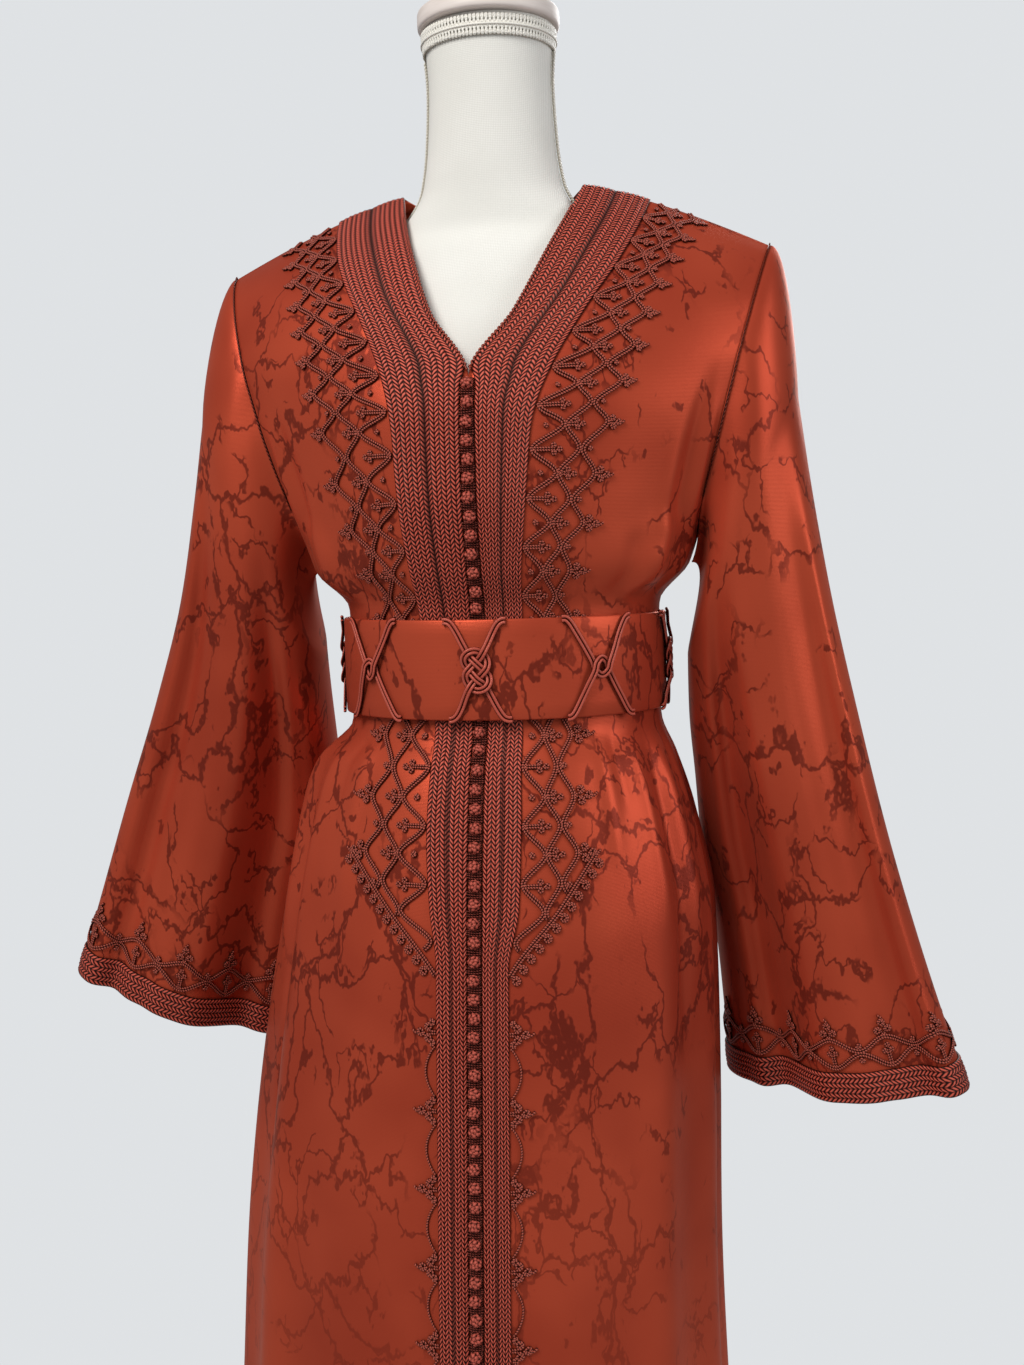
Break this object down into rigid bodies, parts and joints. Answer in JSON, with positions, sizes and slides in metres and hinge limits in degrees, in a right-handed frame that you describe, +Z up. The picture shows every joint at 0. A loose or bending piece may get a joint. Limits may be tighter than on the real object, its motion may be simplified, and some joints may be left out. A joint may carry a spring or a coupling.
{
  "type": "moroccan kaftan on dress form",
  "caption": "Long wide-sleeved kaftan with ribbed braid bands, a knotted-button front and a corded belt, worn on a limbless dress form with a flat round base.",
  "frame": {"origin": "centre of the bounding box on the floor plane, under the dress form's base", "axes": "+Z up along the pole and the wearer's spine, -Y out of the front of the kaftan, +X to the wearer's left"},
  "size_m": [0.6988, 0.4122, 1.5615],
  "materials": {
    "rust_satin": "rust-red satin with a soft sheen and a darker veined print",
    "rust_braid": "glossy rust cord, plaited and looped, dark between the cords",
    "seam_cord": "dark plaited seam cord",
    "form_linen": "off-white linen, plain weave, matt",
    "cap_paint": "pale pinkish-white paint, satin",
    "stand_paint": "off-white paint, satin"
  },
  "bodies": {
    "root": {"armhole_cord_left": "seam_cord", "armhole_cord_right": "seam_cord", "back_left": "rust_satin", "back_right": "rust_satin", "belt": "rust_satin", "belt_hook_2_above": "rust_braid", "belt_hook_2_below": "rust_braid", "belt_hook_4_above": "rust_braid", "belt_hook_4_below": "rust_braid", "belt_hook_6_above": "rust_braid", "belt_hook_6_below": "rust_braid", "belt_hook_8_above": "rust_braid", "belt_hook_8_below": "rust_braid", "belt_knot_1_above": "rust_braid", "belt_knot_1_below": "rust_braid", "belt_knot_3_above": "rust_braid", "belt_knot_3_below": "rust_braid", "belt_knot_5_above": "rust_braid", "belt_knot_5_below": "rust_braid", "belt_knot_7_above": "rust_braid", "belt_knot_7_below": "rust_braid", "braid_band_left": "rust_braid", "braid_band_neck_back": "rust_braid", "braid_band_right": "rust_braid", "button_row": "rust_braid", "cuff_braid_left": "rust_braid", "cuff_braid_right": "rust_braid", "form_base": "stand_paint", "form_cap": "cap_paint", "form_pole": "stand_paint", "form_torso": "form_linen", "front_left": "rust_satin", "front_right": "rust_satin", "scroll_cord_lower_left": "rust_braid", "scroll_cord_lower_right": "rust_braid", "scroll_cord_upper_left": "rust_braid", "scroll_cord_upper_right": "rust_braid", "sleeve_left": "rust_satin", "sleeve_right": "rust_satin"}
  },
  "joints": []
}
